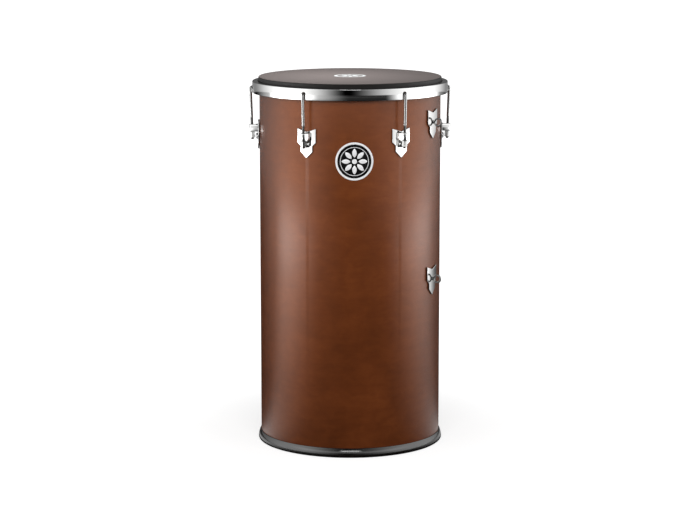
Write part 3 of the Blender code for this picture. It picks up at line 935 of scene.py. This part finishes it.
def makeInnerNut(name, height):
    # a flanged nut on the inside of the shell, at the front
    n = innerNutSizes
    seat, back = nutSeatHigh.x, nutSeatLow.x
    deselectAll()
    bpy.ops.mesh.primitive_cylinder_add(
        vertices=6, radius=n["corner"], depth=seat - back - n["inset"],
        location=(0, -(seat + back) / 2 + n["inset"] / 2, height), rotation=(pi / 2, 0, 0)
    )
    piece = bpy.context.object
    piece.name = name
    bpy.ops.object.transform_apply(location=True, rotation=True, scale=True)
    bpy.ops.object.mode_set(mode="EDIT")
    roundSharp(n["edge"], 2)
    deselectAll()
    brim = seat - n["flangeHeight"]
    slope = brim - n["slope"]
    reach = n["flange"]
    points = [(0, seat), (reach, seat), (reach, brim), (reach * n["slopeShare"], slope), (0, slope)]
    flange = spinLine("flange", [(r, -y, height) for r, y in points], 48, (0, 0, height), (0, 1, 0))
    carve(piece, flange, "UNION")
    carve(piece, radialBar(0, height, seat, n["bore"], n["drill"], 40))
    return piece


def makeInnerNuts():
    piece = makeInnerNut("inner_nut", screwHeight)
    repeatAtLugs(piece, "inner_nut", "lug_screw_nut", zinc)
    for where, height in eyeHeights.items():
        piece = makeInnerNut("inner_strap_nut", height)
        moveToStrap(piece, f"inner_strap_nut_{where}", f"strap_eye_nut_{where}", zinc)


makeScrews()
makeInnerNuts()
print("screws made")


# Strap eyes

eyeSizes = {
    "ring": 0.0070, "wire": 0.0018, "neck": 0.0010, "neckRadius": 0.0036, "shank": 0.0027, "root": 0.0024,
    "pitch": 0.0008, "throat": 0.0012, "brim": 0.0005, "plain": 0.004,
}


def makeEyes():
    e = eyeSizes
    seat = plateFace + clearance
    ringCentre = seat + e["neck"] + e["ring"] + e["wire"]
    for where, height in eyeHeights.items():
        deselectAll()
        bpy.ops.mesh.primitive_torus_add(
            major_segments=96, minor_segments=28, major_radius=e["ring"], minor_radius=e["wire"],
            location=(0, -ringCentre, height), rotation=(0, pi / 2, 0)
        )
        piece = bpy.context.object
        piece.name = "strap_ring"
        bpy.ops.object.transform_apply(location=True, rotation=True, scale=True)
        top = seat + e["neck"] + e["wire"]
        across = e["neckRadius"] - e["throat"]
        flare = arcPoints((e["neckRadius"], top), (across, top - seat - e["brim"]), 180, 270, 8)
        points = [(0, top), *flare, (e["neckRadius"], seat), (e["shank"], seat)]
        points += threadPoints(seat - e["plain"], screwLow.x, e["shank"], e["root"], e["pitch"])
        stem = spinLine("stem", [(r, -y, height) for r, y in points], 40, (0, 0, height), (0, 1, 0))
        deselectAll()
        carve(piece, stem, "UNION")
        moveToStrap(piece, f"strap_ring_{where}", f"strap_eye_{where}", steel)


makeEyes()
print("strap eyes made")


# Badge: a black field in a raised silver border, with a plain rosette

badgeSizes = {
    "sides": 128, "border": 0.0038, "recess": 0.0004, "edge": 0.00018, "rings": 10, "slice": 0.0015,
    "petals": 8, "petalInner": 0.0075, "petalOuter": 0.0245, "petalHalf": 0.0042, "petalRise": 0.0003,
    "button": 0.0048, "ringInner": 0.0262, "ringOuter": 0.0272, "sink": 0.0001, "play": 0.00005,
}


def makeBadge():
    low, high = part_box("badge")
    b = badgeSizes
    middle = (low.z + high.z) / 2
    radius = (high.z - low.z) / 2
    front = -low.y
    back = shellRadius + clearance
    field = radius - b["border"]
    floor = front - b["recess"]
    flat = [(field * ring / b["rings"], floor) for ring in range(b["rings"] + 1)]
    behind = [(radius * ring / b["rings"], back) for ring in range(b["rings"], -1, -1)]
    points = flat + [(field, front), (radius - b["border"] / 2, front), (radius, front)] + behind
    line = [(r, -y, middle) for r, y in points]
    piece = spinLine("round_badge", line, b["sides"], (0, 0, middle), (0, 1, 0))
    roundSharp(b["edge"], 2)
    deselectAll()
    piece.data.materials.append(silver)
    piece.data.materials.append(blackEnamel)
    for face in piece.data.polygons:
        reach = hypot(face.center.x, face.center.z - middle)
        if reach < field - b["play"] and face.normal.y < -0.9:
            face.material_index = 1
    petals = []
    length = b["petalOuter"] - b["petalInner"]
    bow = (length ** 2 / 4 + b["petalHalf"] ** 2) / (2 * b["petalHalf"])  # radius of a petal's sides
    sweep = degrees(acos((bow - b["petalHalf"]) / bow))
    centre = (b["petalInner"] + b["petalOuter"]) / 2
    right = arcPoints((b["petalHalf"] - bow, centre), (bow, bow), -sweep, sweep, 12)
    left = arcPoints((bow - b["petalHalf"], centre), (bow, bow), 180 - sweep, 180 + sweep, 12)
    outline = right + left[1:-1]
    rise = b["petalRise"]
    inset = b["sink"] - floor
    line = [(x, inset, middle + z) for x, z in outline]
    petal = extrudeOutline("petal", line, (0, -rise - b["sink"], 0))
    roundSharp(b["edge"] / 2, 2)
    deselectAll()
    for number in range(b["petals"]):
        copy = petal.copy()
        copy.data = petal.data.copy()
        turn = Matrix.Rotation(2 * pi * number / b["petals"], 4, "Y")
        pivot = Matrix.Translation((0, 0, middle))
        copy.data.transform(pivot @ turn @ pivot.inverted())
        bpy.context.scene.collection.objects.link(copy)
        petals.append(copy)
    bpy.data.objects.remove(petal)
    stud = [(0, inset - rise), (b["button"], inset - rise), (b["button"], inset), (0, inset)]
    petals.append(spinLine("stud", [(r, y, middle) for r, y in stud], 48, (0, 0, middle), (0, 1, 0)))
    deselectAll()
    thin = [
        (b["ringInner"], inset), (b["ringInner"], inset - rise), (b["ringOuter"], inset - rise),
        (b["ringOuter"], inset), (b["ringInner"], inset),
    ]
    line = [(r, y, middle) for r, y in thin]
    petals.append(spinLine("thin ring", line, b["sides"], (0, 0, middle), (0, 1, 0)))
    deselectAll()
    for petal in petals:
        petal.data.materials.append(silver)
    piece = joinAll([piece] + petals)
    editMode(piece)
    sliceAcross(b["slice"], radius)
    wrapRound(piece, front)
    settle(piece, "badge", silver)


makeBadge()
print("badge made")


# Studio

cameraSizes = {
    "azimuth": -2.7, "distance": 4.4754, "height": 1.1146, "pitch": 9.6965, "lens": 118.68, "sensor": 36,
    "clip": 200,
}
tentSizes = {"radius": 6.0, "height": 6.0, "gap": 0.001, "underDrum": 0.19}
tentLevels = {"wall": 1.75, "apron": 7.5, "screen": 0.8, "strip": 0.04, "lid": 0.07}
tentZones = {
    # where a zone starts and ends, in metres or degrees, then its level there where that isn't 0 and 1
    "nearApron": (0.5, 1.8, 0.13, 0.45),
    "farApron": (1.9, 3.2, 0, 0.85),
    "wall": (5.2, 5.6),
    "stripStart": (3.6, 3.7),
    "stripEnd": (4.00, 4.08, tentLevels["strip"], 0),
    "screenFoot": (1.1, 1.3),
    "screenTop": (2.3, 2.8, tentLevels["screen"], 0),
    "screenSides": (50, 90, 1, 0),
    "back": (100, 150, 0, 0.17),
    "nicheSides": (135, 160, 0, 0.6),
    "nicheFoot": (0.5, 0.8, 0, 1),
}
softBoxes = {
    # azimuth from the camera where a glow starts, is full, begins to fade and ends, then its level
    "wall": ((-150, -85, -65, -5, 1.0), (0, 85, 100, 156, 1.0)),
    "apron": (
        (-110, -83, -80, -35, 0.89), (-145, -83, -60, 0, 0.12),  # the left box and its haze
        (40, 94, 92, 132, 0.60), (40, 94, 92, 160, 0.10),  # the right one
        (-60, -20, 40, 60, 0.003),
    ),
}
lampTarget = (0, 0, 0.4)
lampSizes = [
    # azimuth, elevation, distance, width, height, power
    ("left lamp", -45, 35, 2.6, 1.4, 2.4, 8),
    ("right lamp", 45, 35, 2.6, 1.4, 2.4, 7),
    ("top lamp", -90, 85, 0.522, 0.2, 0.2, 0.9),
    ("front lamp", -2, 24, 4.0, 3.0, 1.5, 94),
    ("window", -2, 22, 5.0, 2.0, 0.6, 20),
]


def makeCamera():
    c = cameraSizes
    azimuth = radians(c["azimuth"])
    place = (c["distance"] * sin(azimuth), -c["distance"] * cos(azimuth), c["height"])
    camera = bpy.data.objects.new("camera", bpy.data.cameras.new("camera"))
    camera.data.lens = c["lens"]
    camera.data.sensor_width = c["sensor"]
    camera.data.clip_end = c["clip"]
    camera.location = place
    camera.rotation_euler = (radians(90 - c["pitch"]), 0, azimuth)
    bpy.context.scene.collection.objects.link(camera)
    bpy.context.scene.camera = camera


def makeLamps():
    for name, azimuth, elevation, distance, width, height, power in lampSizes:
        light = bpy.data.lights.new(name, "AREA")
        light.shape = "RECTANGLE"
        light.size = width
        light.size_y = height
        light.energy = power
        lamp = bpy.data.objects.new(name, light)
        around, up = radians(azimuth), radians(elevation)
        lamp.location = (
            distance * cos(up) * sin(around),
            -distance * cos(up) * cos(around),
            lampTarget[2] + distance * sin(up),
        )
        lamp.rotation_euler = (Vector(lampTarget) - lamp.location).to_track_quat("-Z", "Y").to_euler()
        lamp.visible_camera = False
        lamp.visible_glossy = name == "window"  # the tent shines in place of the others
        bpy.context.scene.collection.objects.link(lamp)


def glows(sheet, azimuth, boxes):
    total = 0.0
    for start, full, fading, end, level in boxes:
        rise = sheet.span(azimuth, start, full, 0, level, True)
        total = rise * sheet.span(azimuth, fading, end, 1, 0, True) + total
    return total


def makeTent():
    # a paper tent around the drum, dark in front, which only the shine sees
    material, sheet = newSheet("studio tent")
    x, y, z = sheet.axes(sheet.place())
    turn = sheet.add("ShaderNodeMath", {"operation": "ARCTAN2"}, {0: x, 1: 0 - y})
    azimuth = turn * (180 / pi) - cameraSizes["azimuth"]
    radius = (x * x + y * y) ** 0.5
    zones = tentZones
    fall = sheet.span(radius, *zones["nearApron"]) + sheet.span(radius, *zones["farApron"], True)
    apron = glows(sheet, azimuth, softBoxes["apron"]) * fall * tentLevels["apron"]
    wall = glows(sheet, azimuth, softBoxes["wall"]) + sheet.span(abs(azimuth), *zones["back"], True)
    level = sheet.span(sheet.span(radius, *zones["wall"]), 0, 1, apron, wall * tentLevels["wall"])
    niche = sheet.span(abs(azimuth), *zones["nicheSides"], True) * sheet.span(z, *zones["nicheFoot"], True)
    strip = sheet.span(radius, *zones["stripStart"]) * sheet.span(radius, *zones["stripEnd"])
    screen = sheet.span(z, *zones["screenFoot"]) * sheet.span(z, *zones["screenTop"], True)
    screen = screen * sheet.span(abs(azimuth), *zones["screenSides"], True)
    above = z > tentSizes["height"] - 10 * tentSizes["gap"]
    level = (level * (1 - niche) + strip + screen) * (radius > tentSizes["underDrum"])
    level = sheet.span(above, 0, 1, level, tentLevels["lid"])
    shader = sheet.add("ShaderNodeEmission", {}, {"Color": sheet.grey(level), "Strength": 1.0})
    sheet.finish(shader)
    deselectAll()
    bpy.ops.mesh.primitive_cylinder_add(
        vertices=128, radius=tentSizes["radius"], depth=tentSizes["height"],
        location=(0, 0, tentSizes["height"] / 2 + tentSizes["gap"])
    )
    tent = bpy.context.object
    tent.name = "studio_tent"
    bpy.ops.object.transform_apply(location=True, rotation=True, scale=True)
    tent.data.materials.append(material)
    tent.visible_camera = False
    tent.visible_diffuse = False
    tent.visible_transmission = False
    tent.visible_shadow = False


floorLook = {"size": 80, "shade": (0.48, 0.50), "glow": (0.2, 0.9, 0.70, 1.1)}
worldLevels = (0.26, 1.0)  # for the light on the drum, and for what looks at the background


def lightPath(sheet):
    # 1 for what looks at the background: the camera, the shine and clear things
    node = sheet.add("ShaderNodeLightPath", {}, {}).socket.node
    total = Wire(sheet, node.outputs["Is Camera Ray"]) + Wire(sheet, node.outputs["Is Glossy Ray"])
    total = total + Wire(sheet, node.outputs["Is Transmission Ray"])
    return total > 0.5


def makeFloor():
    material, sheet = newSheet("pale floor")
    seen = lightPath(sheet)
    grain = sheet.noise(sheet.place(), (30, 30, 30), 3, 0.5)
    shade = sheet.grey(sheet.span(grain, 0, 1, *floorLook["shade"]))
    paper = sheet.add("ShaderNodeBsdfDiffuse", {}, {"Color": shade})
    x, y, z = sheet.axes(sheet.place())
    far = sheet.span((x * x + y * y) ** 0.5, *floorLook["glow"], True)  # white as far as the horizon
    glow = sheet.add("ShaderNodeEmission", {}, {"Color": sheet.grey(seen * far), "Strength": 1.0})
    sheet.finish(sheet.add("ShaderNodeAddShader", {}, {0: paper, 1: glow}))
    deselectAll()
    bpy.ops.mesh.primitive_plane_add(size=floorLook["size"])
    floor = bpy.context.object
    floor.name = "pale_floor"
    floor.data.materials.append(material)


def makeWorld():
    world = bpy.data.worlds.new("studio")
    world.use_nodes = True
    bpy.context.scene.world = world
    sheet = Sheet(world.node_tree, "ShaderNodeOutputWorld")
    seen = lightPath(sheet)
    level = sheet.span(seen, 0, 1, *worldLevels)
    sheet.finish(sheet.add("ShaderNodeBackground", {}, {"Color": sheet.grey(level), "Strength": 1.0}))


makeCamera()
makeLamps()
makeTent()
makeFloor()
makeWorld()
bpy.context.scene.view_settings.view_transform = "Standard"
print("studio made")
